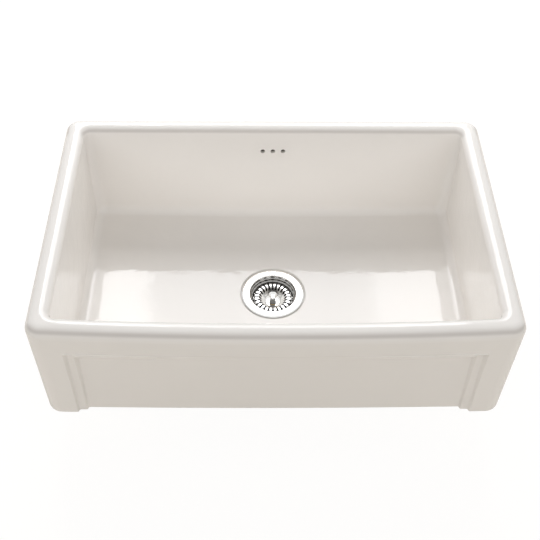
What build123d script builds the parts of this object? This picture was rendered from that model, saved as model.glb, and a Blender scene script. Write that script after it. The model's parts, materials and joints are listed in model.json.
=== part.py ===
from build123d import *

import os
from math import radians, sqrt, tan

# Farmhouse sink with a bowed apron front, a basket strainer waste and a rigid overflow pipe run.
# Millimetres. +X right, +Y to the wall, +Z up. The origin is on the drain axis, level with the underside.

os.makedirs("parts", exist_ok=True)

# Sink, outside
sink_width = 762.0  # at the rim
sink_height = 229.0
side_depth = 500.0  # from the back face to the front corners, at the rim
drain_from_back = 250.0
apron_bow = 11.5  # how far the apron's middle stands ahead of its corners, at the rim
apron_bow_foot = 3.8  # the same at the foot
apron_lean = 6.3  # how far the apron's foot lies behind its rim
side_draft = 0.3  # how much the foot is narrower, each side
corner_radius = 25.5
rim_outer_round = 19.0
foot_round = 3.2

# Bowl
side_wall_rim = 34.5
side_wall_floor = 37.0
back_wall_rim = 34.5
back_wall_floor = 43.5
front_wall_rim = 34.5
front_wall_floor = 29.0
bowl_corner_rim = 12.0
bowl_corner_floor = 21.0
rim_inner_round = 13.5
rim_flat_least = 0.8
floor_round = 15.0
floor_thickness = 20.0  # at the drain
floor_fall = 1.5  # degrees, from the walls to the drain

# Stepped panel in the apron, open at the foot
panel_half_width = 322.5  # at its top
panel_half_width_foot = 326.5
panel_top = 175.0
panel_depth = 5.0
panel_wall_slope = 0.4  # sideways run of the recess's wall for each unit of its depth
inner_panel_inset_rim = 15.3
inner_panel_inset_foot = 14.4
inner_panel_drop = 12.0
inner_panel_depth = 5.0
panel_round = 2.0

# Overflow: three holes into a chamber on the back of the rear wall
overflow_hole_radius = 4.4
overflow_hole_spacing = 19.0
overflow_hole_height = 178.0
overflow_hole_count = 3
chamber_half_width = 46.0
chamber_floor = 141.0
chamber_top = 195.0
chamber_shoulder = 168.0
chamber_depth = 34.0  # behind the sink's back face
chamber_in_wall = 6.0  # how far it reaches into the rear wall
chamber_wall = 8.0

# Drain hole and the seat of the flange
drain_radius = 45.0
flange_seat_gap = 1.5
flange_seat_depth = 3.0
flange_seat_round = 3.0
drain_flat_radius = 63.0

# Waste flange and cup, of pressed sheet
flange_radius = 57.5
flange_lip_run = 3.5
flange_lip_drop = 1.0
flange_below_floor = 0.3
sheet = 1.0
cup_mouth_radius = 42.0
cup_ring_radius = 40.2
cup_wall_radius = 37.8
cup_throat_radius = 33.0
cup_seat_radius = 25.0
cup_ring_height = 14.3
cup_wall_height = 8.8
cup_ledge_height = -4.0
cup_seat_height = -25.0
cup_seat_rise = 5.5
cup_floor_height = -36.0
cup_step_drop = 1.0
cup_drain_hole_radius = 4.2
cup_drain_hole_circle = 13.6
cup_drain_hole_count = 6
cup_screw_hole_radius = 3.3
cup_lip_round = 5.0
cup_mouth_round = 2.5
cup_step_round = 1.3
cup_floor_round = 3.0

# Seals under the flange and under the sink
seal_inner_gap = 0.8
flange_seal_radius = 53.0
base_seal_foot = -3.0
base_seal_radius = 54.0
seal_seat_radius = 56.0  # of the shallow seat for it in the underside
seal_seat_depth = 0.5

# Waste body, of plastic
body_bore = 43.0
body_wall = 3.5
body_flange_radius = 53.0
body_flange_thickness = 5.0
body_cylinder_foot = -48.0
body_funnel_rise = 2.0  # of the inside above the outside, where the funnel begins and ends
outlet_top = -60.0
outlet_length = 28.0
outlet_bore = 20.5
outlet_radius = 23.9  # 1 1/2 inch pipe thread
boss_radius = 8.5
boss_length = 22.0
spoke_thickness = 3.0
spoke_height = 9.0
spoke_count = 4

# Clamp screw, its washer and its insert
screw_radius = 3.0
screw_length = 24.0
screw_head_radius = 5.6
screw_head_height = 3.4
screw_slot_width = 1.4
screw_slot_depth = 1.6
screw_washer_radius = 7.5
washer_thickness = 1.0
insert_radius = 5.0
insert_length = 12.0
insert_recess = 4.0
fit_gap = 0.05  # radial, of a shaft in its hole

# Basket, of pressed sheet
basket_radius = 36.6
basket_sheet = 0.9
basket_crest_height = 8.8
basket_crest_radius = 25.0
basket_hub_radius = 14.5
basket_hub_height = -7.0
basket_shoulder_round = 5.5
basket_crest_round = 4.0
basket_bowl_round = 8.0
slot_count = 24
slot_width = 3.2
slot_inner_radius = 23.0
slot_foot = 2.0
rest_gap = 0.3  # between a piece that lifts and its seat

# Stem bush in the basket's hub
bush_radius = 4.5
bush_flange_radius = 6.0
bush_flange_thickness = 1.0
bush_foot = 1.6  # below the underside of the hub
bush_foot_radius = 5.6

# Stopper, stem and knob
stopper_travel = 8.0
stem_radius = 3.0
catch_radius = 5.5
catch_thickness = 1.5
stopper_thickness = 4.0
stopper_lip = 0.8
stopper_washer_radius = 12.0
nut_across_flats = 10.0
nut_height = 3.5
stem_tail = 0.6
knob_base_radius = 6.7
knob_waist_radius = 5.7
knob_top_radius = 7.9
knob_height = 20.2
knob_waist_height = 11.0
knob_dish = 2.6
knob_dish_radius = 2.4  # of the flat in the middle of the dish
knob_edge = 0.7
knob_socket = 13.0

# Overflow pipes and unions
pipe_radius = 10.0
pipe_wall = 1.7
pipe_gap = 0.15
socket_radius = 12.4
socket_depth = 15.0
socket_chamfer = 1.4
pipe_axis_height = -26.0
spigot_end = 76.0  # from the drain axis
elbow_leg = 26.0
union_core_radius = 14.6
union_rib_radius = 15.5
union_rib_width = 2.2
union_rib_count = 12
union_length = 17.0
union_end = 2.5
union_thread_gap = 0.12
union_seat = 5.0  # room for the cone washer ahead of the socket's mouth
union_wall_gap = 0.8  # between the nut and the sink's back face
cone_gap = 0.1
grommet_gap = 0.05
grommet_flange_radius = 15.0
grommet_flange_thickness = 2.5
grommet_lip_radius = 13.6
grommet_lip_height = 2.0
chamber_outlet_radius = 12.5
pipe_above_grommet = 3.0

cut_over = 1.0  # how far a cut runs past the face it opens

# Places that follow from the sizes above
back_y = drain_from_back
rim_corner_y = back_y - side_depth
foot_corner_y = rim_corner_y + apron_lean
half_width = sink_width / 2
foot_half_width = half_width - side_draft
floor_slope = tan(radians(floor_fall))
seat_top = floor_thickness - flange_seat_depth
flange_top = floor_thickness - flange_below_floor
overflow_pipe_y = back_y + union_rib_radius + union_wall_gap


def apron_y(x, z):
    """Y of the apron's face at a place across and a height: an arc whose bow grows from foot to rim."""
    share = z / sink_height
    bow = apron_bow_foot + (apron_bow - apron_bow_foot) * share
    corner = foot_corner_y + (rim_corner_y - foot_corner_y) * share
    half = foot_half_width + (half_width - foot_half_width) * share
    arc_radius = (half**2 + bow**2) / (2 * bow)
    return corner - bow + arc_radius - sqrt(arc_radius**2 - x**2)


def bowl_outline(half, back, front_wall, height, radius):
    """Plan outline with straight back and sides, and a front that keeps its distance from the apron."""
    corner = apron_y(half, height) + front_wall
    middle = apron_y(0, height) + front_wall
    with BuildSketch() as plan:
        with BuildLine():
            Polyline((half, corner), (half, back), (-half, back), (-half, corner))
            ThreePointArc((-half, corner), (0, middle), (half, corner))
        make_face()
        fillet(plan.vertices(), radius)
    return plan.sketch_local


def panel_outline(half, height, depth):
    """Plan outline of a recess in the apron: its bottom follows the apron and its ends flare outwards."""
    ahead = apron_y(0, height) - 2 * corner_radius
    end = apron_y(half, height) + depth
    flare = half + panel_wall_slope * (end - ahead)
    with BuildSketch() as plan:
        with BuildLine():
            ThreePointArc((-half, end), (0, apron_y(0, height) + depth), (half, end))
            Polyline((half, end), (flare, ahead), (-flare, ahead), (-half, end))
        make_face()
    return plan.sketch_local


# Space inside the bowl, down to a floor that falls to the drain
rim_half = half_width - side_wall_rim
floor_half = half_width - side_wall_floor
with BuildPart() as bowl_space:
    with BuildSketch():
        add(bowl_outline(floor_half, back_y - back_wall_floor, front_wall_floor, 0, bowl_corner_floor))
    with BuildSketch(Plane.XY.offset(sink_height)):
        add(bowl_outline(rim_half, back_y - back_wall_rim, front_wall_rim, sink_height, bowl_corner_rim))
    loft(ruled=True)
    with BuildSketch(Plane.XZ):
        Polygon(
            (0, -cut_over),
            (sink_width, -cut_over),
            (sink_width, floor_thickness + floor_slope * (sink_width - drain_flat_radius)),
            (drain_flat_radius, floor_thickness),
            (0, floor_thickness),
            align=None,
        )
    revolve(axis=Axis.Z, mode=Mode.SUBTRACT)
    floor_faces = bowl_space.faces().filter_by(GeomType.CONE)
    fillet(floor_faces.edges().filter_by(GeomType.CIRCLE, reverse=True), floor_round)

# Chamber on the back of the rear wall, fed by the overflow holes
chamber_back = back_y + chamber_depth
chamber_front = back_y - chamber_in_wall
with BuildPart() as chamber_space:
    with BuildSketch(Plane.YZ):
        Polygon(
            (chamber_front, chamber_floor),
            (chamber_back, chamber_floor),
            (chamber_back, chamber_shoulder),
            (chamber_front, chamber_top),
            align=None,
        )
    extrude(amount=chamber_half_width, both=True)
    fillet(chamber_space.edges().filter_by(Axis.X), chamber_wall / 2)

# The two steps of the panel in the apron
inner_panel_top = panel_top - inner_panel_drop
inner_half_rim = panel_half_width - inner_panel_inset_rim
inner_half_foot = panel_half_width_foot - inner_panel_inset_foot
with BuildPart() as panel_space:
    with BuildSketch(Plane.XY.offset(-panel_depth)):
        add(panel_outline(panel_half_width_foot, 0, panel_depth))
    with BuildSketch(Plane.XY.offset(panel_top)):
        add(panel_outline(panel_half_width, panel_top, panel_depth))
    loft(ruled=True)
    panel_face = panel_space.faces().sort_by(Axis.Y)[-1]
    fillet(panel_face.edges().sort_by(Axis.Z)[1:], panel_round)

with BuildPart() as inner_panel_space:
    with BuildSketch(Plane.XY.offset(-panel_depth)):
        add(panel_outline(inner_half_foot, 0, panel_depth + inner_panel_depth))
    with BuildSketch(Plane.XY.offset(inner_panel_top)):
        add(panel_outline(inner_half_rim, inner_panel_top, panel_depth + inner_panel_depth))
    loft(ruled=True)
    inner_panel_face = inner_panel_space.faces().sort_by(Axis.Y)[-1]
    fillet(inner_panel_face.edges().sort_by(Axis.Z)[1:], panel_round)

# Sink
with BuildPart() as sink_bowl:
    with BuildSketch():
        add(bowl_outline(foot_half_width, back_y, 0, 0, corner_radius))
    with BuildSketch(Plane.XY.offset(sink_height)):
        add(bowl_outline(half_width, back_y, 0, sink_height, corner_radius))
    loft(ruled=True)
    outer_round = min(rim_outer_round, corner_radius - rim_flat_least)
    fillet(sink_bowl.edges().group_by(Axis.Z)[-1], outer_round)
    fillet(sink_bowl.edges().group_by(Axis.Z)[0], foot_round)
    # Hump round the overflow chamber
    with BuildSketch(Plane.YZ):
        Polygon(
            (back_y - chamber_wall, chamber_floor - chamber_wall),
            (chamber_back + chamber_wall, chamber_floor - chamber_wall),
            (chamber_back + chamber_wall, chamber_shoulder + chamber_wall / 2),
            (back_y - chamber_wall, chamber_top + 2 * chamber_wall),
            align=None,
        )
    extrude(amount=chamber_half_width + chamber_wall, both=True)
    hump_edges = sink_bowl.edges().filter_by(lambda edge: edge.center().Y > back_y + cut_over)
    fillet(hump_edges, chamber_wall / 2)
    add(chamber_space.part, mode=Mode.SUBTRACT)
    with BuildSketch(Plane.XY.offset(chamber_floor - 2 * chamber_wall)):
        with Locations((0, overflow_pipe_y)):
            Circle(chamber_outlet_radius)
    extrude(amount=3 * chamber_wall, mode=Mode.SUBTRACT)
    # Bowl, and the soft inner edge of the rim
    add(bowl_space.part, mode=Mode.SUBTRACT)
    rim_face = sink_bowl.faces().filter_by(Axis.Z).sort_by(Axis.Z)[-1]
    inner_round = min(rim_inner_round, front_wall_rim - outer_round - rim_flat_least)
    fillet(rim_face.inner_wires()[0].edges(), inner_round)
    # Overflow holes
    hole_plane = Plane(origin=(0, 0, overflow_hole_height), x_dir=(1, 0, 0), z_dir=(0, 1, 0))
    with BuildSketch(hole_plane.offset(back_y - 2 * back_wall_floor)):
        with GridLocations(overflow_hole_spacing, 1, overflow_hole_count, 1):
            Circle(overflow_hole_radius)
    extrude(amount=2 * back_wall_floor, mode=Mode.SUBTRACT)
    # Seat of the flange, and the drain hole
    with BuildSketch(Plane.XY.offset(seat_top)):
        Circle(flange_radius + flange_seat_gap)
    extrude(amount=2 * flange_seat_depth, mode=Mode.SUBTRACT)
    seat_wall = sink_bowl.faces().filter_by(
        lambda face: face.geom_type == GeomType.CYLINDER
        and face.center().Z > seat_top
        and abs(face.radius - flange_radius - flange_seat_gap) < cut_over / 100
    )
    seat_round = min(flange_seat_round, flange_seat_depth - cut_over / 5)
    fillet(seat_wall.edges().group_by(Axis.Z)[-1], seat_round)
    with BuildSketch():
        Circle(drain_radius)
    extrude(amount=floor_thickness, mode=Mode.SUBTRACT)
    # Shallow seat for the gasket in the underside
    with BuildSketch():
        Circle(seal_seat_radius)
    extrude(amount=seal_seat_depth, mode=Mode.SUBTRACT)
    # Stepped panel
    add(panel_space.part, mode=Mode.SUBTRACT)
    add(inner_panel_space.part, mode=Mode.SUBTRACT)
sink_bowl.part.label = "sink_bowl"
export_step(sink_bowl.part, "parts/sink_bowl.step")

# Waste flange: flat rim, stepped cup, ledge for the basket, conical seat for the stopper, pierced floor
flange_path = [
    (flange_radius, flange_top - flange_lip_drop),
    (flange_radius - flange_lip_run, flange_top),
    (cup_mouth_radius, flange_top),
    (cup_mouth_radius, cup_ring_height),
    (cup_ring_radius, cup_ring_height - cup_step_drop),
    (cup_ring_radius, cup_wall_height),
    (cup_wall_radius, cup_wall_height - cup_step_drop),
    (cup_wall_radius, cup_ledge_height),
    (cup_throat_radius, cup_ledge_height),
    (cup_throat_radius, cup_seat_height + cup_seat_rise),
    (cup_seat_radius + cup_seat_rise, cup_seat_height + cup_seat_rise),
    (cup_seat_radius, cup_seat_height),
    (cup_seat_radius, cup_floor_height),
    (cup_screw_hole_radius, cup_floor_height),
]
flange_bends = [cup_lip_round, cup_mouth_round] + 9 * [cup_step_round] + [cup_floor_round]
with BuildPart() as waste_flange:
    with BuildSketch(Plane.XZ):
        with BuildLine():
            FilletPolyline(*flange_path, radius=flange_bends)
            offset(amount=sheet, side=Side.LEFT)
        make_face()
    revolve(axis=Axis.Z)
    with BuildSketch(Plane.XY.offset(cup_floor_height + sheet)):
        with PolarLocations(cup_drain_hole_circle, cup_drain_hole_count):
            Circle(cup_drain_hole_radius)
    extrude(amount=-3 * sheet, mode=Mode.SUBTRACT)
waste_flange.part.label = "waste_flange"
export_step(waste_flange.part, "parts/waste_flange.step")

# Gasket between the flange and its seat in the floor
with BuildPart() as flange_seal:
    with BuildSketch(Plane.XY.offset(seat_top)):
        Circle(flange_seal_radius)
        Circle(drain_radius + seal_inner_gap, mode=Mode.SUBTRACT)
    extrude(amount=flange_top - sheet - seat_top)
flange_seal.part.label = "flange_seal"
export_step(flange_seal.part, "parts/flange_seal.step")

# Thick gasket between the waste body and the underside
with BuildPart() as base_seal:
    with BuildSketch(Plane.XY.offset(base_seal_foot)):
        Circle(base_seal_radius)
        Circle(drain_radius + seal_inner_gap, mode=Mode.SUBTRACT)
    extrude(amount=seal_seat_depth - base_seal_foot)
base_seal.part.label = "base_seal"
export_step(base_seal.part, "parts/base_seal.step")

# Waste body: funnel with an outlet, a side spigot for the overflow and a boss on spokes under the cup
body_radius = body_bore + body_wall
outlet_end = outlet_top - outlet_length
boss_top = cup_floor_height - sheet
insert_top = boss_top - insert_recess
with BuildPart() as waste_body:
    with BuildSketch(Plane.XZ):
        Polygon(
            (0, base_seal_foot),
            (body_flange_radius, base_seal_foot),
            (body_flange_radius, base_seal_foot - body_flange_thickness),
            (body_radius, base_seal_foot - body_flange_thickness),
            (body_radius, body_cylinder_foot),
            (outlet_radius, outlet_top),
            (outlet_radius, outlet_end),
            (0, outlet_end),
            align=None,
        )
    revolve(axis=Axis.Z)
    spigot_root = Plane(origin=(0, body_bore / 2, pipe_axis_height), x_dir=(1, 0, 0), z_dir=(0, 1, 0))
    with BuildSketch(spigot_root):
        Circle(socket_radius)
    extrude(amount=spigot_end - body_bore / 2)
    with BuildSketch(Plane.XZ):
        Polygon(
            (0, 0),
            (body_bore, 0),
            (body_bore, body_cylinder_foot + body_funnel_rise),
            (outlet_bore, outlet_top + body_funnel_rise),
            (outlet_bore, outlet_end - cut_over),
            (0, outlet_end - cut_over),
            align=None,
        )
    revolve(axis=Axis.Z, mode=Mode.SUBTRACT)
    with BuildSketch(spigot_root):
        Circle(pipe_radius - pipe_wall)
    extrude(amount=spigot_end, mode=Mode.SUBTRACT)
    with BuildSketch(spigot_root.offset(spigot_end - socket_depth - body_bore / 2)):
        Circle(pipe_radius + pipe_gap)
    extrude(amount=socket_depth, mode=Mode.SUBTRACT)
    spigot_mouth = waste_body.faces().sort_by(Axis.Y)[-1]
    chamfer(spigot_mouth.inner_wires()[0].edges(), socket_chamfer)
    with BuildSketch(Plane.XY.offset(boss_top)):
        Circle(boss_radius)
    extrude(amount=-boss_length)
    with BuildSketch(Plane.XY.offset(boss_top - washer_thickness)):
        with PolarLocations(body_bore / 2, spoke_count, start_angle=45):
            Rectangle(body_bore + body_wall / 2, spoke_thickness)
    extrude(amount=-spoke_height)
    with BuildSketch(Plane.XY.offset(boss_top)):
        Circle(cup_screw_hole_radius)
    extrude(amount=-boss_length, mode=Mode.SUBTRACT)
    with BuildSketch(Plane.XY.offset(insert_top)):
        Circle(insert_radius + fit_gap)
    extrude(amount=-boss_length, mode=Mode.SUBTRACT)
waste_body.part.label = "waste_body"
export_step(waste_body.part, "parts/waste_body.step")

# Threaded insert in the boss
with BuildPart() as screw_insert:
    with BuildSketch(Plane.XY.offset(insert_top)):
        Circle(insert_radius)
        Circle(screw_radius + fit_gap, mode=Mode.SUBTRACT)
    extrude(amount=-insert_length)
screw_insert.part.label = "screw_insert"
export_step(screw_insert.part, "parts/screw_insert.step")

# Washer and slotted screw on the floor of the cup
screw_seat = cup_floor_height + washer_thickness
with BuildPart() as screw_washer:
    with BuildSketch(Plane.XY.offset(cup_floor_height)):
        Circle(screw_washer_radius)
        Circle(screw_radius + fit_gap, mode=Mode.SUBTRACT)
    extrude(amount=washer_thickness)
screw_washer.part.label = "screw_washer"
export_step(screw_washer.part, "parts/screw_washer.step")

with BuildPart() as clamp_screw:
    with BuildSketch(Plane.XY.offset(screw_seat)):
        Circle(screw_head_radius)
    extrude(amount=screw_head_height)
    fillet(clamp_screw.edges().group_by(Axis.Z)[-1], screw_head_height / 3)
    with BuildSketch(Plane.XY.offset(screw_seat + screw_head_height)):
        Rectangle(2 * screw_head_radius, screw_slot_width)
    extrude(amount=-screw_slot_depth, mode=Mode.SUBTRACT)
    with BuildSketch(Plane.XY.offset(screw_seat)):
        Circle(screw_radius)
    extrude(amount=-screw_length)
    chamfer(clamp_screw.edges().group_by(Axis.Z)[0], screw_radius / 4)
clamp_screw.part.label = "clamp_screw"
export_step(clamp_screw.part, "parts/clamp_screw.step")

# Basket: skirt that stands on the ledge of the cup, slotted ring and dished middle
basket_path = [
    (basket_radius, cup_ledge_height + rest_gap),
    (basket_radius, basket_crest_height),
    (basket_crest_radius, basket_crest_height),
    (basket_hub_radius, basket_hub_height),
    (bush_radius + fit_gap, basket_hub_height),
]
basket_bends = [basket_shoulder_round, basket_crest_round, basket_bowl_round]
slot_outer_radius = basket_radius + slot_width
with BuildPart() as strainer_basket:
    with BuildSketch(Plane.XZ):
        with BuildLine():
            FilletPolyline(*basket_path, radius=basket_bends)
            offset(amount=basket_sheet, side=Side.LEFT)
        make_face()
    revolve(axis=Axis.Z)
    with BuildSketch(Plane.XY.offset(slot_foot)):
        with PolarLocations((slot_inner_radius + slot_outer_radius) / 2, slot_count):
            SlotOverall(slot_outer_radius - slot_inner_radius, slot_width)
    extrude(amount=basket_crest_height, mode=Mode.SUBTRACT)
strainer_basket.part.label = "strainer_basket"
export_step(strainer_basket.part, "parts/strainer_basket.step")

# Bush in the basket's hub
hub_underside = basket_hub_height - basket_sheet
bush_top = basket_hub_height + bush_flange_thickness
bush_bottom = hub_underside - bush_foot
with BuildPart() as stem_bush:
    with BuildSketch(Plane.XZ):
        Polygon(
            (stem_radius + fit_gap, bush_bottom),
            (bush_foot_radius, bush_bottom),
            (bush_foot_radius, hub_underside),
            (bush_radius, hub_underside),
            (bush_radius, basket_hub_height),
            (bush_flange_radius, basket_hub_height),
            (bush_flange_radius, bush_top),
            (stem_radius + fit_gap, bush_top),
            align=None,
        )
    revolve(axis=Axis.Z)
stem_bush.part.label = "stem_bush"
export_step(stem_bush.part, "parts/stem_bush.step")

# Clip on the stem: it meets the bush when the stem is fully up
catch_top = bush_bottom - stopper_travel - rest_gap
catch_bottom = catch_top - catch_thickness
with BuildPart() as stem_catch:
    with BuildSketch(Plane.XY.offset(catch_bottom)):
        Circle(catch_radius)
        Circle(stem_radius + fit_gap, mode=Mode.SUBTRACT)
    extrude(amount=catch_thickness)
stem_catch.part.label = "stem_catch"
export_step(stem_catch.part, "parts/stem_catch.step")

# Rubber stopper, with an edge that follows the cup's conical seat
stopper_bottom = catch_bottom - stopper_thickness
seat_offset = cup_seat_radius - cup_seat_height - rest_gap * sqrt(2)
stopper_foot_radius = seat_offset + stopper_bottom
stopper_lip_bottom = catch_bottom - stopper_lip
stopper_lip_radius = seat_offset + stopper_lip_bottom
with BuildPart() as basket_stopper:
    with BuildSketch(Plane.XZ):
        Polygon(
            (stem_radius + fit_gap, stopper_bottom),
            (stopper_foot_radius, stopper_bottom),
            (stopper_lip_radius, stopper_lip_bottom),
            (stopper_lip_radius, catch_bottom),
            (stem_radius + fit_gap, catch_bottom),
            align=None,
        )
    revolve(axis=Axis.Z)
basket_stopper.part.label = "basket_stopper"
export_step(basket_stopper.part, "parts/basket_stopper.step")

# Washer and nut under the stopper
nut_top = stopper_bottom - washer_thickness
nut_bottom = nut_top - nut_height
with BuildPart() as stopper_washer:
    with BuildSketch(Plane.XY.offset(nut_top)):
        Circle(stopper_washer_radius)
        Circle(stem_radius + fit_gap, mode=Mode.SUBTRACT)
    extrude(amount=washer_thickness)
stopper_washer.part.label = "stopper_washer"
export_step(stopper_washer.part, "parts/stopper_washer.step")

with BuildPart() as stem_nut:
    with BuildSketch(Plane.XY.offset(nut_bottom)):
        RegularPolygon(nut_across_flats / 2, 6, major_radius=False)
        Circle(stem_radius + fit_gap, mode=Mode.SUBTRACT)
    extrude(amount=nut_height)
stem_nut.part.label = "stem_nut"
export_step(stem_nut.part, "parts/stem_nut.step")

# Waisted knob with a dished top, and the stem in its socket
knob_base = bush_top + rest_gap
knob_top = knob_base + knob_height
knob_side_top = knob_top - knob_edge
with BuildPart() as lift_knob:
    with BuildSketch(Plane.XZ):
        with BuildLine():
            Line((0, knob_base), (knob_base_radius, knob_base))
            ThreePointArc(
                (knob_base_radius, knob_base),
                (knob_waist_radius, knob_base + knob_waist_height),
                (knob_top_radius, knob_side_top),
            )
            Line((knob_top_radius, knob_side_top), (knob_top_radius, knob_top))
            ThreePointArc(
                (knob_top_radius, knob_top),
                ((knob_top_radius + knob_dish_radius) / 2, knob_top - knob_dish * 2 / 3),
                (knob_dish_radius, knob_top - knob_dish),
            )
            Polyline((knob_dish_radius, knob_top - knob_dish), (0, knob_top - knob_dish), (0, knob_base))
        make_face()
    revolve(axis=Axis.Z)
    with BuildSketch(Plane.XY.offset(knob_base)):
        Circle(stem_radius + fit_gap)
    extrude(amount=knob_socket, mode=Mode.SUBTRACT)
lift_knob.part.label = "lift_knob"
export_step(lift_knob.part, "parts/lift_knob.step")

with BuildPart() as lift_stem:
    with BuildSketch(Plane.XY.offset(nut_bottom - stem_tail)):
        Circle(stem_radius)
    extrude(amount=knob_base + knob_socket - nut_bottom + stem_tail)
lift_stem.part.label = "lift_stem"
export_step(lift_stem.part, "parts/lift_stem.step")

# Grommet in the outlet of the overflow chamber
grommet_seat = chamber_floor - chamber_wall
grommet_top = chamber_floor + grommet_lip_height
with BuildPart() as overflow_grommet:
    with BuildSketch(Plane.XY.offset(grommet_seat - grommet_flange_thickness)):
        with Locations((0, overflow_pipe_y)):
            Circle(grommet_flange_radius)
    extrude(amount=grommet_flange_thickness)
    with BuildSketch(Plane.XY.offset(grommet_seat)):
        with Locations((0, overflow_pipe_y)):
            Circle(chamber_outlet_radius - grommet_gap)
    extrude(amount=chamber_wall)
    with BuildSketch(Plane.XY.offset(chamber_floor)):
        with Locations((0, overflow_pipe_y)):
            Circle(grommet_lip_radius)
    extrude(amount=grommet_lip_height)
    with BuildSketch(Plane.XY.offset(grommet_top)):
        with Locations((0, overflow_pipe_y)):
            Circle(pipe_radius + grommet_gap)
    extrude(amount=-3 * chamber_wall, mode=Mode.SUBTRACT)
overflow_grommet.part.label = "overflow_grommet"
export_step(overflow_grommet.part, "parts/overflow_grommet.step")

# Elbow behind the sink's foot, with a socket up and a socket forward
elbow_place = Location((0, overflow_pipe_y, pipe_axis_height))
top_mouth = Plane(origin=(0, overflow_pipe_y, pipe_axis_height + elbow_leg), z_dir=(0, 0, 1))
rear_mouth = Plane(
    origin=(0, overflow_pipe_y - elbow_leg, pipe_axis_height), x_dir=(1, 0, 0), z_dir=(0, -1, 0)
)
front_mouth = Plane(origin=(0, spigot_end, pipe_axis_height), x_dir=(1, 0, 0), z_dir=(0, 1, 0))
with BuildPart() as overflow_elbow:
    with Locations(elbow_place):
        Sphere(socket_radius)
    for mouth in (top_mouth, rear_mouth):
        with BuildSketch(mouth):
            Circle(socket_radius)
        extrude(amount=-elbow_leg)
    with Locations(elbow_place):
        Sphere(pipe_radius - pipe_wall, mode=Mode.SUBTRACT)
    for mouth in (top_mouth, rear_mouth):
        with BuildSketch(mouth):
            Circle(pipe_radius - pipe_wall)
        extrude(amount=-elbow_leg, mode=Mode.SUBTRACT)
        with BuildSketch(mouth):
            Circle(pipe_radius + pipe_gap)
        extrude(amount=-socket_depth, mode=Mode.SUBTRACT)
    top_face = overflow_elbow.faces().sort_by(Axis.Z)[-1]
    rear_face = overflow_elbow.faces().sort_by(Axis.Y)[0]
    chamfer(top_face.inner_wires()[0].edges() + rear_face.inner_wires()[0].edges(), socket_chamfer)
overflow_elbow.part.label = "overflow_elbow"
export_step(overflow_elbow.part, "parts/overflow_elbow.step")

# Pipes, each from the shoulder of its socket
downpipe_foot = top_mouth.origin.Z - socket_depth
with BuildPart() as overflow_downpipe:
    with BuildSketch(top_mouth.offset(-socket_depth)):
        Circle(pipe_radius)
        Circle(pipe_radius - pipe_wall, mode=Mode.SUBTRACT)
    extrude(amount=grommet_top + pipe_above_grommet - downpipe_foot)
overflow_downpipe.part.label = "overflow_downpipe"
export_step(overflow_downpipe.part, "parts/overflow_downpipe.step")

crosspipe_length = rear_mouth.origin.Y - front_mouth.origin.Y + 2 * socket_depth
with BuildPart() as overflow_crosspipe:
    with BuildSketch(front_mouth.offset(-socket_depth)):
        Circle(pipe_radius)
        Circle(pipe_radius - pipe_wall, mode=Mode.SUBTRACT)
    extrude(amount=crosspipe_length)
overflow_crosspipe.part.label = "overflow_crosspipe"
export_step(overflow_crosspipe.part, "parts/overflow_crosspipe.step")

# Each union: a ribbed nut over the socket's mouth, and a cone washer that it presses on the pipe
nut_bore = socket_radius + union_thread_gap
unions = {"downpipe": top_mouth, "crosspipe_rear": rear_mouth, "crosspipe_front": front_mouth}
for union, mouth in unions.items():
    profile_plane = Plane(origin=mouth.origin, x_dir=mouth.x_dir, z_dir=-mouth.y_dir)
    axis = Axis(mouth.origin, mouth.z_dir)
    with BuildPart() as union_nut:
        with BuildSketch(mouth.offset(union_seat + union_end)):
            Circle(union_core_radius)
            with PolarLocations((union_core_radius + union_rib_radius) / 2, union_rib_count):
                Rectangle(2 * (union_rib_radius - union_core_radius), union_rib_width)
            Circle(union_rib_radius, mode=Mode.INTERSECT)
        extrude(amount=-union_length)
        with BuildSketch(mouth.offset(union_seat)):
            Circle(nut_bore)
        extrude(amount=-union_length, mode=Mode.SUBTRACT)
        with BuildSketch(mouth.offset(union_seat)):
            Circle(pipe_radius + 2 * pipe_gap)
        extrude(amount=union_end, mode=Mode.SUBTRACT)
    union_nut.part.label = union + "_nut"
    export_step(union_nut.part, f"parts/{union}_nut.step")
    with BuildPart() as cone_washer:
        with BuildSketch(profile_plane):
            Polygon(
                (pipe_radius + fit_gap, cone_gap - socket_chamfer),
                (pipe_radius + pipe_gap, cone_gap - socket_chamfer),
                (pipe_radius + pipe_gap + socket_chamfer, cone_gap),
                (nut_bore - cone_gap, cone_gap),
                (nut_bore - cone_gap, union_seat),
                (pipe_radius + fit_gap, union_seat),
                align=None,
            )
        revolve(axis=axis)
    cone_washer.part.label = union + "_cone_washer"
    export_step(cone_washer.part, f"parts/{union}_cone_washer.step")
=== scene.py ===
import json
from math import cos, hypot, pi, radians, sin, sqrt, tan

import bmesh
import bpy
from mathutils import Matrix, Vector


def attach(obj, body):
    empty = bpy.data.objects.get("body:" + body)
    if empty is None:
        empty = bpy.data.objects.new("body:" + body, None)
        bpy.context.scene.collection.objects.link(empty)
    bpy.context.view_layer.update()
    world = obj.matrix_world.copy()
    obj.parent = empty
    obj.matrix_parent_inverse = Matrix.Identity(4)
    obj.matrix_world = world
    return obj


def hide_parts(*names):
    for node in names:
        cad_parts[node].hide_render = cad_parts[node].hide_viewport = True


# Looks of a glazed farmhouse sink with a bowed apron front. Metres. +X right, +Y to the wall, +Z up.

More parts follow.
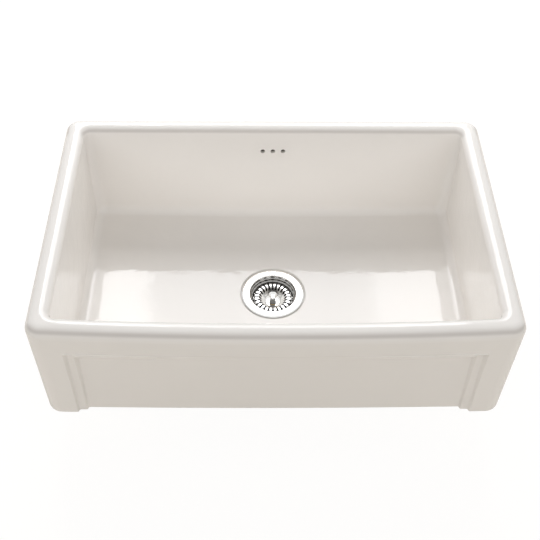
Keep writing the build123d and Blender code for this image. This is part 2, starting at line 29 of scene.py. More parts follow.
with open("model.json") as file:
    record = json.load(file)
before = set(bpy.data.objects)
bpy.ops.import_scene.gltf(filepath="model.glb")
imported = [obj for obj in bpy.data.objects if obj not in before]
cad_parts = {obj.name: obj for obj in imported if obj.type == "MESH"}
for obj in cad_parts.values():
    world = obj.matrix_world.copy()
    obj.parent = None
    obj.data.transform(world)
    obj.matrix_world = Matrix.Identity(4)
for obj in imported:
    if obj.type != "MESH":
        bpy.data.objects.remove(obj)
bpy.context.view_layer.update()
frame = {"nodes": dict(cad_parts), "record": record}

# Sink, as in the part. The walls are as thick as this at the rim and at the height of the foot.
half_width = 0.381
rim_height = 0.229
back_y = 0.250
front_y = -0.250  # of the apron at its corners, at the rim
apron_lean = 0.0063
apron_bow_rim = 0.0115
apron_bow_foot = 0.0038
corner_radius = 0.0255
rim_outer_round = 0.019
rim_inner_round = 0.0135
foot_round = 0.0032
wall_rim = 0.0345
side_wall_foot = 0.037
front_wall_foot = 0.029
back_wall_foot = 0.0435
bowl_corner_rim = 0.012
bowl_corner_foot = 0.021
floor_height = 0.020
floor_round = 0.015
floor_slope = 0.02619
drain_flat_radius = 0.063

# Recessed panel of the apron, in two steps
panel_half = 0.3225
panel_half_foot = 0.3265
panel_top = 0.175
panel_depth = 0.005  # of each step
panel_flare = 0.4
inner_half_rim = 0.3072
inner_half_foot = 0.3121
inner_top = 0.163
panel_round = 0.002

# Overflow: three holes into a chamber, inside a hump on the back
overflow_radius = 0.0044
overflow_spacing = 0.019
overflow_height = 0.178
overflow_start = 0.190  # in the bowl, from where the holes run to the sink's back
chamber_half = 0.046
chamber_foot = 0.141
chamber_top = 0.195  # at the front, from where its roof slopes to the shoulder
chamber_shoulder = 0.168
chamber_front = back_y - 0.006
chamber_back = back_y + 0.034
chamber_wall = 0.008
hump_half = chamber_half + chamber_wall
hump_foot = chamber_foot - chamber_wall
hump_back = chamber_back + chamber_wall
hump_shoulder = chamber_shoulder + chamber_wall / 2
hump_top = chamber_top + 2 * chamber_wall
hump_round = chamber_wall / 2
outlet_radius = 0.0125
outlet_behind = 0.0163  # its axis behind the sink's back
outlet_low = 0.120  # from below the hump's foot to inside the chamber
outlet_high = 0.150

# Drain, with a seat for the flange on the floor and one for the gasket in the underside
drain_radius = 0.045
seat_radius = 0.059
seat_height = 0.017
seat_round = 0.0028
gasket_seat_radius = 0.056
gasket_seat_depth = 0.0005

# Cuts in the sink's faces, so that they can bend
side_cuts = [0.018 * step for step in range(1, 19)]
floor_cuts = [0.020 * step for step in range(-10, 11)]
floor_cut_reach = 0.004
front_cuts = [-0.19, -0.17, -0.15, -0.13, -0.11, -0.09, -0.07]
height_cuts = [0.050, 0.080, 0.110, 0.140, 0.180]
bend_start = -0.070  # the apron's shape grows from here to the front
bend_reach = 0.120
fall_end = 0.140  # the fall of the floor fades out up the walls
fall_fade = 0.100
bowl_from_side = 0.020  # the bowl's own points are further in than these
bowl_from_front = 0.012
bowl_from_back = 0.015

# Waste, as in the part: (radius, height) of the corners of each sheet's upper side, and their rounds
flange_sheet = 0.0010
flange_corners = [
    (0.0575, 0.0193), (0.0540, 0.0203), (0.0420, 0.0203), (0.0420, 0.0143), (0.0402, 0.0133),
    (0.0402, 0.0088), (0.0378, 0.0078), (0.0378, -0.0040), (0.0330, -0.0040), (0.0330, -0.0195),
    (0.0305, -0.0195), (0.0250, -0.0250), (0.0250, -0.0360), (0.0033, -0.0360),
]
flange_rounds = [0.0050, 0.0025] + 9 * [0.0013] + [0.0030]
flange_steps = 144
cup_hole_radius = 0.0042
cup_hole_circle = 0.0136
cup_hole_count = 6
cup_hole_turn = pi / flange_steps  # so that the centres lie between the sheet's edges
basket_sheet = 0.0009
basket_corners = [
    (0.0366, -0.0037), (0.0366, 0.0088), (0.0250, 0.0088), (0.0145, -0.0070), (0.00455, -0.0070),
]
basket_rounds = [0.0055, 0.0040, 0.0080]
basket_crest = 0.0088
basket_steps = 144
slot_count = 24
slot_width = 0.0037
slot_inner = 0.0212
slot_outer = 0.0398
slot_foot = 0.0020
slot_round = slot_width * 0.49  # almost half of it, for round ends
knob_base = -0.0057
knob_base_radius = 0.0067
knob_waist_radius = 0.0057
knob_waist_height = 0.0110
knob_top_radius = 0.0079
knob_height = 0.0202
knob_dish = 0.0026
knob_dish_radius = 0.0024
knob_edge = 0.0007
knob_socket = 0.0130
knob_socket_radius = 0.00305
knob_steps = 96

# Glaze: a painted shade line along the rim, and painted shade in the overflow holes. Pairs are where a change
# starts and ends.
shade_line_height = 0.2236
shade_line_drop = 0.0010  # from the front to the back
shade_line_reach = 0.0048
shade_line_front = (-0.238, -0.226)
shade_line_back = (0.197, 0.212)
shade_line_back_end = (0.228, 0.234)
shade_front = (0.2165, 0.2200)
shade_back = (0.2480, 0.2490)
shade_top = (0.186, 0.190)
shade_side = (0.040, 0.045)
calm_apron = (-0.238, -0.200)

# Camera, fitted to the photograph
camera_place = (-0.0315, -1.0501, 1.2832)
camera_yaw = radians(1.385)
camera_pitch = radians(48.774)
camera_roll = radians(-1.094)
photo_width = 540
focal_length = 888.241  # in the photograph's own dots
sensor_width = 36

# Studio. Each sky has its brightness near the horizon, above it, high up and overhead.
ground = -0.0905
ground_size = 14
sky_front = (0.0, 1.70, 1.08, 0.02)
sky_sides = (0.50, 1.42, 0.08, 0.0)
sky_behind = (0.05, 0.60, 1.02, 0.0)
sides_start = -0.40  # how far back a direction points where the next sky starts to take over
behind_start = 0.10
sky_blend = 0.30
towards_camera = (-0.02, -0.64, 0.77)
darkness_edge = (0.965, 0.992)  # how near to the camera's direction
darkness_depth = 0.4
cool_white = (0.985, 1.0, 1.035)

tiny = 1e-5
weld_gap = 1e-6
sliver = 5e-6  # edges shorter than this are closed up after the flange's cut
past = 0.010  # how far a cutting block reaches past what it cuts
smooth_angle = radians(40)
node_smooth_angle = radians(35)
up = Vector((0, 0, 1))
down = Vector((0, 0, -1))
to_right = Vector((1, 0, 0))
to_back = Vector((0, 1, 0))


# Modelling, as by hand


def deselect():
    if bpy.context.object and bpy.context.object.mode == "EDIT":
        bpy.ops.object.mode_set(mode="OBJECT")
    bpy.ops.object.select_all(action="DESELECT")


def choose(piece):
    """Leaves one piece selected and active."""
    deselect()
    piece.select_set(True)
    bpy.context.view_layer.objects.active = piece


def work_on(piece):
    """Opens one piece in edit mode."""
    choose(piece)
    bpy.ops.object.mode_set(mode="EDIT")


def done():
    bpy.ops.object.mode_set(mode="OBJECT")


def settle(piece):
    """Moves a piece's place into its mesh."""
    choose(piece)
    bpy.ops.object.transform_apply(location=True, rotation=True, scale=True)


def apply(piece, kind, **settings):
    """Puts a modifier on a piece and applies it."""
    choose(piece)
    modifier = piece.modifiers.new(kind.lower(), kind)
    for key, value in settings.items():
        setattr(modifier, key, value)
    bpy.ops.object.modifier_apply(modifier=modifier.name)


def pick(piece, part, test):
    """Selects the corners, edges or faces of the open piece that pass a test."""
    bpy.ops.mesh.select_all(action="DESELECT")
    bpy.ops.mesh.select_mode(type=part)
    mesh = bmesh.from_edit_mesh(piece.data)
    for item in {"VERT": mesh.verts, "EDGE": mesh.edges, "FACE": mesh.faces}[part]:
        if test(item):
            item.select_set(True)
    mesh.select_flush_mode()
    bmesh.update_edit_mesh(piece.data)


def weld():
    """Joins the open piece's doubled corners and turns its faces outwards."""
    bpy.ops.mesh.select_all(action="SELECT")
    bpy.ops.mesh.remove_doubles(threshold=weld_gap)
    bpy.ops.mesh.normals_make_consistent(inside=False)


def block(name, low, high):
    """A box from its lowest to its highest corner."""
    deselect()
    low, high = Vector(low), Vector(high)
    bpy.ops.mesh.primitive_cube_add(size=1, location=(low + high) / 2)
    piece = bpy.context.object
    piece.name = name
    piece.scale = high - low
    settle(piece)
    return piece


def rod(name, radius, low, high, sides=96, axis="Z"):
    """A cylinder between two points of its axis."""
    deselect()
    low, high = Vector(low), Vector(high)
    bpy.ops.mesh.primitive_cylinder_add(
        vertices=sides, radius=radius, depth=(high - low).length, location=(low + high) / 2,
        rotation=(radians(90), 0, 0) if axis == "Y" else (0, 0, 0),
    )
    piece = bpy.context.object
    piece.name = name
    settle(piece)
    return piece


def combine(piece, tool, operation):
    """Cuts a tool out of a piece or adds it, and throws the tool away."""
    apply(piece, "BOOLEAN", object=tool, operation=operation, solver="EXACT")
    bpy.data.objects.remove(tool)


def soften(piece, test, width, steps):
    """Rounds the edges of a piece that pass a test."""
    work_on(piece)
    pick(piece, "EDGE", test)
    bpy.ops.mesh.bevel(
        offset=width, offset_type="OFFSET", segments=steps, profile=0.5, affect="EDGES",
        clamp_overlap=False, loop_slide=False,
    )
    done()


def smooth(piece):
    """Shades a finished piece smooth, apart from its sharp edges."""
    choose(piece)
    bpy.ops.object.shade_smooth_by_angle(angle=smooth_angle)
    apply(piece, "WEIGHTED_NORMAL", keep_sharp=True)


def ends(edge):
    return edge.verts[0].co, edge.verts[1].co


def upright(edge, least=tiny):
    """Whether the edge's ends are further apart in height than this."""
    return abs(ends(edge)[0].z - ends(edge)[1].z) > least


def on_cut_plane(edge):
    return all(abs(end.x) < tiny for end in ends(edge))


def left_of_cut_plane(edge):
    return all(end.x < 0 for end in ends(edge))


def facing(edge, direction, least=0.9):
    """How many of the edge's faces look in a direction."""
    return sum(face.normal.dot(direction) > least for face in edge.link_faces)


# Sink: its right half is shaped as a straight block, bent, and mirrored


def at_height(rim, foot, height):
    return foot + (rim - foot) * height / rim_height


def bowl_section(height):
    """Outline of the bowl at a height: right side, front, back, and the radius of its corners."""
    return (
        half_width - at_height(wall_rim, side_wall_foot, height),
        front_y + at_height(wall_rim, front_wall_foot, height),
        back_y - at_height(wall_rim, back_wall_foot, height),
        at_height(bowl_corner_rim, bowl_corner_foot, height),
    )


def section_loop(height):
    """The bowl's outline at a height, as a loop of edges."""
    right, front, back, radius = bowl_section(height)
    deselect()
    bpy.ops.mesh.primitive_plane_add(size=1, location=((right - past) / 2, (front + back) / 2, height))
    loop = bpy.context.object
    loop.scale = (right + past, back - front, 1)
    settle(loop)
    work_on(loop)
    pick(loop, "VERT", lambda corner: corner.co.x > 0)
    bpy.ops.mesh.bevel(
        offset=radius, offset_type="OFFSET", segments=9, profile=0.5, affect="VERTICES",
        clamp_overlap=False,
    )
    bpy.ops.mesh.select_all(action="SELECT")
    bpy.ops.mesh.delete(type="ONLY_FACE")
    done()
    return loop


def bowl_space():
    """The space in the bowl, from the floor to above the rim."""
    low, high = section_loop(floor_height), section_loop(rim_height + past)
    deselect()
    low.select_set(True)
    high.select_set(True)
    bpy.context.view_layer.objects.active = low
    bpy.ops.object.join()
    work_on(low)
    bpy.ops.mesh.select_all(action="SELECT")
    bpy.ops.mesh.bridge_edge_loops()
    bpy.ops.mesh.select_all(action="SELECT")
    bpy.ops.mesh.fill_holes(sides=0)
    bpy.ops.mesh.select_all(action="SELECT")
    bpy.ops.mesh.normals_make_consistent(inside=False)
    done()
    soften(low, lambda edge: facing(edge, down) == 1 and not left_of_cut_plane(edge), floor_round, 9)
    return low


def sloped_panel(name, half_top, half_foot, top, depth):
    """Block that cuts one step of the panel: its side flares towards the front."""
    piece = block(name, (-past, front_y - past, -past), (half_top, front_y + depth, top))
    work_on(piece)
    pick(piece, "VERT", lambda corner: corner.co.x > 0 and corner.co.y < front_y)
    bpy.ops.transform.translate(value=(panel_flare * (depth + past), 0, 0))
    pick(piece, "VERT", lambda corner: corner.co.x > 0 and corner.co.z < 0)
    bpy.ops.transform.translate(value=(half_foot - half_top, 0, 0))
    done()
    return piece


def cut_panel(sink):
    outer = sloped_panel("panel_step", panel_half, panel_half_foot, panel_top, panel_depth)
    combine(sink, outer, "DIFFERENCE")
    inner = sloped_panel("inner_step", inner_half_rim, inner_half_foot, inner_top, 2 * panel_depth)
    combine(sink, inner, "DIFFERENCE")

    def panel_edge(edge):
        start, end = ends(edge)
        middle = (start + end) / 2
        return (
            abs(start.y - end.y) < tiny
            and front_y - tiny < start.y < front_y + 2 * panel_depth + tiny
            and middle.x < panel_half_foot + 2 * panel_depth
            and tiny < middle.z < panel_top + tiny
            and not on_cut_plane(edge)
        )

    soften(sink, panel_edge, panel_round, 4)


def add_hump(sink):
    """The casting round the overflow chamber, on the back."""
    hump = block("hump", (-past, back_y - past, hump_foot), (hump_half, hump_back, hump_shoulder))
    work_on(hump)
    pick(hump, "VERT", lambda corner: corner.co.y < back_y and corner.co.z > hump_foot + tiny)
    slope = (hump_top - hump_shoulder) / (hump_back - back_y + chamber_wall)
    bpy.ops.transform.translate(value=(0, 0, slope * (hump_back - back_y + past)))
    done()

    def behind_sink(edge):
        return max(end.y for end in ends(edge)) > back_y and not left_of_cut_plane(edge)

    soften(hump, behind_sink, hump_round, 5)
    combine(sink, hump, "UNION")

    def hump_root(edge):
        start, end = ends(edge)
        return (
            abs(start.y - back_y) < tiny and abs(end.y - back_y) < tiny
            and max(start.x, end.x) < hump_half + tiny and not on_cut_plane(edge)
            and hump_foot - tiny < min(start.z, end.z) and max(start.z, end.z) < hump_top
        )

    soften(sink, hump_root, hump_round, 4)


def cut_bowl(sink):
    combine(sink, bowl_space(), "DIFFERENCE")

    def inner_rim(edge):
        return (
            facing(edge, up, 0.99) == 1
            and sum(abs(face.normal.z) < 0.3 for face in edge.link_faces) == 1
            and ends(edge)[0].z > rim_height - tiny
            and not on_cut_plane(edge)
        )

    soften(sink, inner_rim, rim_inner_round, 8)


def cut_drain(sink):
    """The flange's seat, the gasket's seat and the hole."""
    combine(sink, rod("seat", seat_radius, up * seat_height, up * (floor_height + past)), "DIFFERENCE")

    def seat_edge(edge):
        start, end = ends(edge)
        return (
            facing(edge, up) == 1 and abs(start.z - floor_height) < tiny
            and hypot(*((start + end) / 2).xy) < seat_radius + tiny and not on_cut_plane(edge)
        )

    soften(sink, seat_edge, seat_round, 5)
    combine(sink, rod("gasket_seat", gasket_seat_radius, down * past, up * gasket_seat_depth), "DIFFERENCE")
    combine(sink, rod("drain", drain_radius, down * past, up * (floor_height + past)), "DIFFERENCE")


def cut_overflow(sink):
    """The chamber behind the rear wall, its outlet, and the holes in front of it."""
    chamber = block(
        "chamber", (-past, chamber_front, chamber_foot), (chamber_half, chamber_back, chamber_shoulder),
    )
    work_on(chamber)
    pick(chamber, "VERT", lambda corner: corner.co.y < back_y and corner.co.z > chamber_foot + tiny)
    bpy.ops.transform.translate(value=(0, 0, chamber_top - chamber_shoulder))
    done()
    combine(sink, chamber, "DIFFERENCE")
    outlet_y = back_y + outlet_behind
    outlet = rod("outlet", outlet_radius, (0, outlet_y, outlet_low), (0, outlet_y, outlet_high), 48)
    combine(sink, outlet, "DIFFERENCE")
    for x in (0, overflow_spacing):
        start, end = (x, overflow_start, overflow_height), (x, back_y, overflow_height)
        hole = rod("overflow", overflow_radius, start, end, 48, "Y")
        combine(sink, hole, "DIFFERENCE")


def slice_up(piece, direction, places, test=lambda face: True):
    """Cuts a piece's faces along planes, so that they can bend."""
    work_on(piece)
    for place in places:
        pick(piece, "FACE", test)
        bpy.ops.mesh.bisect(
            plane_co=direction * place, plane_no=direction, use_fill=False, threshold=weld_gap,
        )
    done()


def keep_right_half(sink):
    """Leaves the right half, open along the plane between the halves."""
    work_on(sink)
    pick(sink, "FACE", lambda face: all(corner.co.x < tiny for corner in face.verts))
    bpy.ops.mesh.delete(type="FACE")
    bpy.ops.mesh.select_all(action="SELECT")
    bpy.ops.mesh.bisect(
        plane_co=(0, 0, 0), plane_no=to_right, use_fill=False, clear_inner=True, threshold=weld_gap,
    )
    done()


def in_bowl(point):
    return (
        abs(point.x) < half_width - bowl_from_side
        and front_y + bowl_from_front < point.y < back_y - bowl_from_back
        and point.z > seat_height - tiny
    )


def bend(point):
    """Gives a point of the straight block the apron's bow and lean, and the floor its fall to the drain."""
    if in_bowl(point):
        fall = floor_slope * max(0, hypot(point.x, point.y) - drain_flat_radius)
        point.z += fall * min(1, max(0, (fall_end - point.z) / fall_fade))
    share = point.z / rim_height
    bow = apron_bow_foot + (apron_bow_rim - apron_bow_foot) * share
    radius = (half_width**2 + bow**2) / (2 * bow)
    reach = apron_lean * (1 - share) - bow + radius - sqrt(radius**2 - point.x**2)
    hold = min(1, max(0, (bend_start - point.y) / bend_reach))
    point.y += reach * hold * hold * (3 - 2 * hold)


def bend_sink(sink):
    def floor_face(face):
        return face.normal.z > 0.5 and abs(face.calc_center_median().z - floor_height) < floor_cut_reach

    slice_up(sink, to_right, side_cuts)
    slice_up(sink, to_back, floor_cuts, floor_face)
    slice_up(sink, to_back, front_cuts)
    slice_up(sink, up, height_cuts)
    keep_right_half(sink)
    for corner in sink.data.vertices:
        bend(corner.co)


def make_sink():
    sink = block("fired_sink", (0, front_y, 0), (half_width, back_y, rim_height))

    def side_corner(edge):
        return all(end.x > half_width - tiny for end in ends(edge)) and upright(edge, rim_height / 2)

    def foot(edge):
        return facing(edge, down) == 1 and not on_cut_plane(edge)

    def outer_rim(edge):
        return facing(edge, up) == 1 and ends(edge)[0].z > rim_height - tiny and not on_cut_plane(edge)

    soften(sink, side_corner, corner_radius, 10)
    cut_panel(sink)
    soften(sink, foot, foot_round, 4)
    soften(sink, outer_rim, rim_outer_round, 9)
    add_hump(sink)
    cut_bowl(sink)
    cut_drain(sink)
    cut_overflow(sink)
    bend_sink(sink)
    apply(sink, "MIRROR", merge_threshold=tiny)
    work_on(sink)
    weld()
    done()
    smooth(sink)
    return sink


# Waste: sheets and a knob turned about the drain's axis


def rounded(corners, rounds, steps=5):
    """A path in the XZ plane through corners, with each corner between its ends rounded."""
    corners = [Vector((radius, 0, height)) for radius, height in corners]
    path = [corners[0]]
    for before, corner, after, radius in zip(corners, corners[1:], corners[2:], rounds):
        back, ahead = (before - corner).normalized(), (after - corner).normalized()
        half = back.angle(ahead) / 2
        middle = corner + (back + ahead).normalized() * (radius / sin(half))
        start = corner + back * (radius / tan(half)) - middle
        end = corner + ahead * (radius / tan(half)) - middle
        path += [middle + start.slerp(end, step / steps) * radius for step in range(steps + 1)]
    return path + [corners[-1]]


def curve_through(first, middle, last, steps=10):
    """Points of the circle's arc through three points in the XZ plane."""
    first, middle, last = (Vector((radius, height)) for radius, height in (first, middle, last))
    a, b = middle - first, last - first
    turn = 2 * (a.x * b.y - a.y * b.x)
    centre = first + Vector((b.y * a.length_squared - a.y * b.length_squared,
                             a.x * b.length_squared - b.x * a.length_squared)) / turn
    start, end = first - centre, last - centre
    start, end = Vector((start.x, 0, start.y)), Vector((end.x, 0, end.y))
    middle = Vector((centre.x, 0, centre.y))
    return [middle + start.slerp(end, step / steps) * start.length for step in range(steps + 1)]


def lathe(name, path, steps):
    """Turns a path of points about the vertical axis, with its upper side out."""
    deselect()
    bpy.ops.mesh.primitive_plane_add(size=0.01, location=(0, 0, 0))
    piece = bpy.context.object
    piece.name = name
    work_on(piece)
    bpy.ops.mesh.select_mode(type="VERT")
    bpy.ops.mesh.select_all(action="SELECT")
    bpy.ops.mesh.merge(type="CENTER")
    bpy.ops.transform.translate(value=path[0])
    for start, end in zip(path, path[1:]):
        bpy.ops.mesh.extrude_vertices_move(TRANSFORM_OT_translate={"value": end - start})
    bpy.ops.mesh.select_all(action="SELECT")
    bpy.ops.mesh.spin(steps=steps, angle=2 * pi, center=(0, 0, 0), axis=up)
    weld()
    mesh = bmesh.from_edit_mesh(piece.data)
    if max(mesh.faces, key=lambda face: face.calc_center_median().z).normal.z < 0:
        bpy.ops.mesh.flip_normals()
    done()
    return piece


def all_round(piece, count):
    """Repeats a piece's mesh about the vertical axis."""
    work_on(piece)
    bpy.ops.mesh.select_all(action="SELECT")
    bpy.ops.mesh.spin(steps=count, angle=2 * pi, dupli=True, center=(0, 0, 0), axis=up)
    weld()
    done()


def make_flange():
    flange = lathe("pressed_flange", rounded(flange_corners, flange_rounds), flange_steps)
    apply(flange, "SOLIDIFY", thickness=flange_sheet, offset=-1, use_even_offset=True)
    foot = flange_corners[-1][1]
    spot = Vector((cup_hole_circle * cos(cup_hole_turn), cup_hole_circle * sin(cup_hole_turn), foot))
    hole = rod("cup_hole", cup_hole_radius, spot - up * past, spot + up * past / 2, 42)
    all_round(hole, cup_hole_count)
    combine(flange, hole, "DIFFERENCE")
    work_on(flange)
    bpy.ops.mesh.select_all(action="SELECT")
    bpy.ops.mesh.remove_doubles(threshold=sliver)
    bpy.ops.mesh.dissolve_degenerate(threshold=sliver)
    done()
    smooth(flange)
    return flange


def make_basket():
    basket = lathe("pressed_basket", rounded(basket_corners, basket_rounds, 7), basket_steps)
    apply(basket, "SOLIDIFY", thickness=basket_sheet, offset=-1, use_even_offset=True)
    slot = block(
        "slot", (slot_inner, -slot_width / 2, slot_foot), (slot_outer, slot_width / 2, basket_crest + past),
    )
    soften(slot, upright, slot_round, 5)
    all_round(slot, slot_count)
    combine(basket, slot, "DIFFERENCE")
    smooth(basket)
    return basket


def make_knob():
    top = knob_base + knob_height
    socket_top = knob_base + knob_socket
    side = curve_through(
        (knob_base_radius, knob_base),
        (knob_waist_radius, knob_base + knob_waist_height),
        (knob_top_radius, top - knob_edge),
        14,
    )
    dish = curve_through(
        (knob_top_radius, top),
        ((knob_top_radius + knob_dish_radius) / 2, top - knob_dish * 2 / 3),
        (knob_dish_radius, top - knob_dish),
    )
    socket = [
        Vector((0, 0, socket_top)),
        Vector((knob_socket_radius, 0, socket_top)),
        Vector((knob_socket_radius, 0, knob_base)),
    ]
    knob = lathe("turned_knob", socket + side + dish + [Vector((0, 0, top - knob_dish))], knob_steps)
    smooth(knob)
    return knob


sink = make_sink()
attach(sink, "sink")
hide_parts("sink_bowl")
flange = make_flange()
basket = make_basket()
knob = make_knob()
for piece, body, node in (
    (flange, "sink", "waste_flange"), (basket, "basket", "strainer_basket"), (knob, "stopper", "lift_knob"),
):
    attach(piece, body)
    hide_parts(node)

# Smooth shading on the nodes that stay
nodes = frame["nodes"]
for node in nodes.values():
    choose(node)
    bpy.ops.object.shade_smooth_by_angle(angle=node_smooth_angle)


# Finishes


class Signal:
    """A value in a finish's nodes. Sums on it add Math nodes."""

    def __init__(self, finish, socket):
        self.finish = finish
        self.socket = socket

    def join(self, operation, first, second):
        made = self.finish.node("ShaderNodeMath", {"operation": operation}, {0: first, 1: second})
        return made.out("Value")

    def __abs__(self):
        return self.join("ABSOLUTE", self, 0)

    def __add__(self, other):
        return self.join("ADD", self, other)

    def __radd__(self, other):
        return self.join("ADD", other, self)

    def __sub__(self, other):
        return self.join("SUBTRACT", self, other)

    def __rsub__(self, other):
        return self.join("SUBTRACT", other, self)

    def __mul__(self, other):
        return self.join("MULTIPLY", self, other)

    def __rmul__(self, other):
        return self.join("MULTIPLY", other, self)

    def __truediv__(self, other):
        return self.join("DIVIDE", self, other)


class Made:
    """A node that was made, and its outputs."""

    def __init__(self, finish, node):
        self.finish = finish
        self.made = node

    def out(self, name):
        return Signal(self.finish, self.made.outputs[name])


class Nodes:
    """A tree of nodes, and the one way to make them."""

    def __init__(self, tree):
        self.tree = tree

    def feed(self, node, sockets):
        for key, value in sockets.items():
            if isinstance(value, Signal):
                self.tree.links.new(value.socket, node.inputs[key])
            else:
                node.inputs[key].default_value = value

    def node(self, kind, settings=None, sockets=None):
        made = self.tree.nodes.new(kind)
        for key, value in (settings or {}).items():
            if key == "stops":
                ramp = made.color_ramp
                while len(ramp.elements) < len(value):
                    ramp.elements.new(1)
                for element, (position, colour) in zip(ramp.elements, value):
                    element.position = position
                    element.color = colour
            else:
                setattr(made, key, value)
        self.feed(made, sockets or {})
        return Made(self, made)

    def change(self, value, start, end, reach=1, kind="LINEAR"):
        """0 up to the start, and as much as its reach from the end on."""
        return self.node(
            "ShaderNodeMapRange", {"interpolation_type": kind},
            {"Value": value, "From Min": start, "From Max": end, "To Max": reach},
        ).out("Result")


class Finish(Nodes):
    """A material made of nodes."""

    def __init__(self, name, **shader_values):
        self.material = bpy.data.materials.new(name)
        self.material.use_nodes = True
        super().__init__(self.material.node_tree)
        self.shader = self.tree.nodes["Principled BSDF"]
        self.surface = self.tree.nodes["Material Output"]
        self.dress(**shader_values)

    def place(self):
        """Where a point is on the object."""
        return self.node("ShaderNodeTexCoord").out("Object")

    def noise(self, scale, detail):
        return self.node(
            "ShaderNodeTexNoise", {"normalize": True},
            {"Vector": self.place(), "Scale": scale, "Detail": detail, "Roughness": 0.5},
        ).out("Fac")

    def dress(self, **shader_values):
        self.feed(self.shader, {key.replace("_", " "): value for key, value in shader_values.items()})

    def relief(self, height, strength, distance):
        bump = self.node("ShaderNodeBump", {}, {"Height": height, "Strength": strength, "Distance": distance})
        self.dress(Normal=bump.out("Normal"))

    def on(self, *pieces):
        for piece in pieces:
            piece.data.materials.clear()
            piece.data.materials.append(self.material)


def rgb(red, green, blue):
    """A colour as it is seen, from 0 to 255, as the shader's own."""
    def straight(value):
        value /= 255
        return value / 12.92 if value <= 0.04045 else ((value + 0.055) / 1.055) ** 2.4
    return (straight(red), straight(green), straight(blue), 1)


def grey(value):
    return (value, value, value, 1)


mix_factor, mix_low, mix_high, mix_result = 0, 6, 7, 2  # places of the sockets on a Mix node for colours


def between(finish, factor, low, high):
    """A colour between two colours."""
    sockets = {mix_factor: factor, mix_low: low, mix_high: high}
    return finish.node("ShaderNodeMix", {"data_type": "RGBA"}, sockets).out(mix_result)


def glaze_finish():
    finish = Finish("white_glaze", IOR=1.52)
    broad = finish.noise(9.0, 3.0)
    waves = finish.noise(24.0, 3.0)
    fine = finish.noise(110.0, 2.0)
    white = between(finish, broad, rgb(241, 237, 232), rgb(244, 240, 235))
    place = finish.node("ShaderNodeSeparateXYZ", {}, {0: finish.place()})
    across, along, height = place.out("X"), place.out("Y"), place.out("Z")

    def after(value, edge):
        """0 before the edge, 1 after it, and smooth between its start and end."""
        return finish.change(value, *edge, kind="SMOOTHSTEP")

    # Painted shade: a darker line along the rim, where its rounding falls into shade: outside at the front,
    # and inside at the back
    off = height - shade_line_height + shade_line_drop * after(along, (0, 0.1))
    line = 1 - after(abs(off), (0, shade_line_reach))
    straight_front = along + apron_bow_rim * (1 - across * across / half_width**2)
    outside_front = 1 - after(straight_front, shade_line_front)
    inside_back = after(along, shade_line_back) * (1 - after(along, shade_line_back_end))
    shade = between(finish, line * (outside_front + inside_back), white, rgb(217, 211, 205))
    # Little light gets into the overflow holes
    in_hole = after(along, shade_front) * (1 - after(along, shade_back)) * (1 - after(height, shade_top))
    in_hole = in_hole * (1 - after(abs(across), shade_side))
    shade = between(finish, in_hole, shade, rgb(150, 145, 139))
    finish.dress(Base_Color=shade, Roughness=0.030 + fine * 0.020)
    # The ripple is fainter down the apron
    calm = 0.2 + 0.8 * after(straight_front, calm_apron)
    finish.relief(((waves - 0.5) * 0.85 + (fine - 0.5) * 0.15) * calm, 1.0, 0.00060)
    return finish


def shaded_steel_finish(name, *painted_shades):
    """Polished steel, painted a lighter or darker grey at each height: painted shade lower down, painted
    highlight higher up.
    """
    finish = Finish(name, Metallic=1.0)
    height = finish.node("ShaderNodeSeparateXYZ", {}, {0: finish.place()}).out("Z")
    low, high = painted_shades[0][0], painted_shades[-1][0]
    fine = finish.noise(700.0, 3.0)
    stops = [((at - low) / (high - low), rgb(shade, shade - 1, shade - 3)) for at, shade in painted_shades]
    share = finish.change(height, low, high)
    colour = finish.node("ShaderNodeValToRGB", {"stops": stops}, {"Fac": share}).out("Color")
    finish.dress(Base_Color=colour, Roughness=fine * 0.06 + 0.10)
    finish.relief(fine, 0.1, 0.00004)
    return finish


def metal_finish(name, colour, roughness):
    finish = Finish(name, Metallic=1.0, Base_Color=colour)
    finish.dress(Roughness=roughness + finish.noise(900.0, 3.0) * 0.06)
    return finish


def plain_finish(name, low, high, roughness, scale):
    """Plastic or rubber, between two colours."""
    finish = Finish(name)
    fine = finish.noise(scale, 3.0)
    finish.dress(Base_Color=between(finish, fine, low, high), Roughness=roughness + fine * 0.08)
    finish.relief(fine, 0.15, 0.0002)
    return finish


slots = {
    "white_glaze": glaze_finish(),
    "stainless_steel": metal_finish("stainless_steel", rgb(225, 225, 223), 0.16),
    "brass": metal_finish("brass", rgb(205, 170, 100), 0.25),
    "black_rubber": plain_finish("black_rubber", rgb(28, 28, 28), rgb(40, 40, 40), 0.55, 400.0),
    "white_plastic": plain_finish("white_plastic", rgb(228, 228, 224), rgb(236, 236, 232), 0.35, 500.0),
    "pipe_plastic": plain_finish("pipe_plastic", rgb(222, 224, 222), rgb(230, 231, 229), 0.28, 500.0),
}
for part in frame["record"]["subparts"]:
    slots[part["material_slot"]].on(nodes[part["node"]])
slots["white_glaze"].on(sink)
# Painted light and shade on the waste's steel: the flange and knob painted darker low in the drain, where
# shade falls, and bright at the top; the basket painted almost white
flange_steel = shaded_steel_finish(
    "flange_painted_light_and_shade", (-0.012, 92), (0.000, 108), (0.006, 152), (0.0175, 180), (0.0199, 243),
)
flange_steel.on(flange)
shaded_steel_finish("basket_painted_light", (-0.008, 245), (0.0040, 246), (0.0075, 247)).on(basket)
shaded_steel_finish("knob_painted_light_and_shade", (-0.006, 112), (0.0085, 130), (0.0120, 240)).on(knob)


# Camera, at the photograph's place


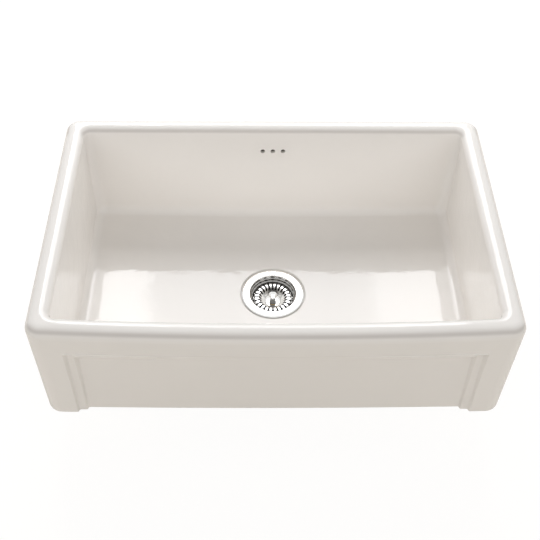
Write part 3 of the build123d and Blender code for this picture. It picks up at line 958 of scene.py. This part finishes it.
def make_camera():
    ahead = Vector((
        sin(camera_yaw) * cos(camera_pitch), cos(camera_yaw) * cos(camera_pitch), -sin(camera_pitch),
    ))
    level = Vector((cos(camera_yaw), -sin(camera_yaw), 0))
    below = ahead.cross(level)
    right = level * cos(camera_roll) + below * sin(camera_roll)
    above = level * sin(camera_roll) - below * cos(camera_roll)
    lens = bpy.data.cameras.new("camera")
    lens.sensor_width = sensor_width
    lens.lens = focal_length / photo_width * sensor_width
    camera = bpy.data.objects.new("camera", lens)
    turn = Matrix((right, above, -ahead)).transposed()
    camera.matrix_world = Matrix.Translation(camera_place) @ turn.to_4x4()
    bpy.context.scene.collection.objects.link(camera)
    bpy.context.scene.camera = camera


make_camera()


# Studio: a pale ground that keeps a faint shadow, a sky that looks white, and soft boxes behind


def make_floor():
    deselect()
    bpy.ops.mesh.primitive_plane_add(size=ground_size, location=(0, 0, ground))
    floor = bpy.context.object
    floor.name = "floor"
    settle(floor)
    finish = Finish("floor_white", Base_Color=rgb(234, 226, 214), Roughness=0.9)
    glow = finish.node("ShaderNodeEmission", {}, {"Color": grey(1), "Strength": 1.08})
    path = finish.node("ShaderNodeLightPath")
    share = path.out("Is Camera Ray") * 0.85 + path.out("Is Glossy Ray") * 0.20
    lit = Signal(finish, finish.shader.outputs["BSDF"])
    blend = finish.node("ShaderNodeMixShader", {}, {0: share, 1: lit, 2: glow.out("Emission")})
    finish.feed(finish.surface, {"Surface": blend.out("Shader")})
    finish.on(floor)


def sky_ramp(sky, height, levels):
    """Brightness near the horizon, above it, high up and overhead."""
    low, middle, high, top = levels
    steps = [(0.0, low), (0.26, low), (0.34, middle), (0.56, middle), (0.64, high), (0.81, high), (0.89, top)]
    stops = [(place, grey(level)) for place, level in steps]
    return sky.node("ShaderNodeValToRGB", {"stops": stops}, {"Fac": height}).out("Color")


def make_world():
    """A sky that lights from some parts only, and is white where it is seen, in a mirror too."""
    world = bpy.data.worlds.new("studio")
    bpy.context.scene.world = world
    world.use_nodes = True
    sky = Nodes(world.node_tree)
    view = sky.node("ShaderNodeTexCoord").out("Generated")
    direction = sky.node("ShaderNodeSeparateXYZ", {}, {0: view})
    behind, height = direction.out("Y"), direction.out("Z")
    light = sky_ramp(sky, height, sky_front)
    for start, levels in ((sides_start, sky_sides), (behind_start, sky_behind)):
        share = sky.change(behind, start, start + sky_blend)
        light = light * (1 - share) + sky_ramp(sky, height, levels) * share
    path = sky.node("ShaderNodeLightPath")
    glossy = path.out("Is Glossy Ray")
    seen = path.out("Is Camera Ray")
    for ray in (glossy, path.out("Is Transmission Ray")):
        seen = seen.join("MAXIMUM", seen, ray)
    # A mirror shows the darkness about the camera
    nearness = sky.node("ShaderNodeVectorMath", {"operation": "DOT_PRODUCT"}, {0: view, 1: towards_camera})
    darkness = sky.change(nearness.out("Value"), *darkness_edge, darkness_depth)
    strength = light * (1 - seen) + seen * (1 - darkness * glossy)
    sky.feed(sky.tree.nodes["Background"], {"Color": grey(1), "Strength": strength})


def soft_box(name, place, aim, size, power, colour=(1, 1, 1)):
    lamp = bpy.data.lights.new(name, "AREA")
    lamp.shape = "RECTANGLE"
    lamp.size, lamp.size_y = size
    lamp.energy = power
    lamp.color = colour
    box = bpy.data.objects.new(name, lamp)
    box.location = place
    box.rotation_euler = (Vector(aim) - Vector(place)).to_track_quat("-Z", "Y").to_euler()
    bpy.context.scene.collection.objects.link(box)


make_floor()
make_world()
soft_box("back_box", (0, 1.9, 2.14), aim=(0, 0, 0.1), size=(1.89, 1.19), power=25.4, colour=cool_white)
soft_box("low_box", (0, 2.4, 1.25), aim=(0, 0, 0.2), size=(3.2, 0.9), power=12.5)
soft_box("left_box", (-0.70, 1.86, 2.12), aim=(-0.70, 0, 0.1), size=(0.50, 1.10), power=4.2)
soft_box("right_box", (0.70, 1.86, 2.12), aim=(0.70, 0, 0.1), size=(0.50, 1.10), power=3.0)

bpy.context.scene.view_settings.view_transform = "Standard"
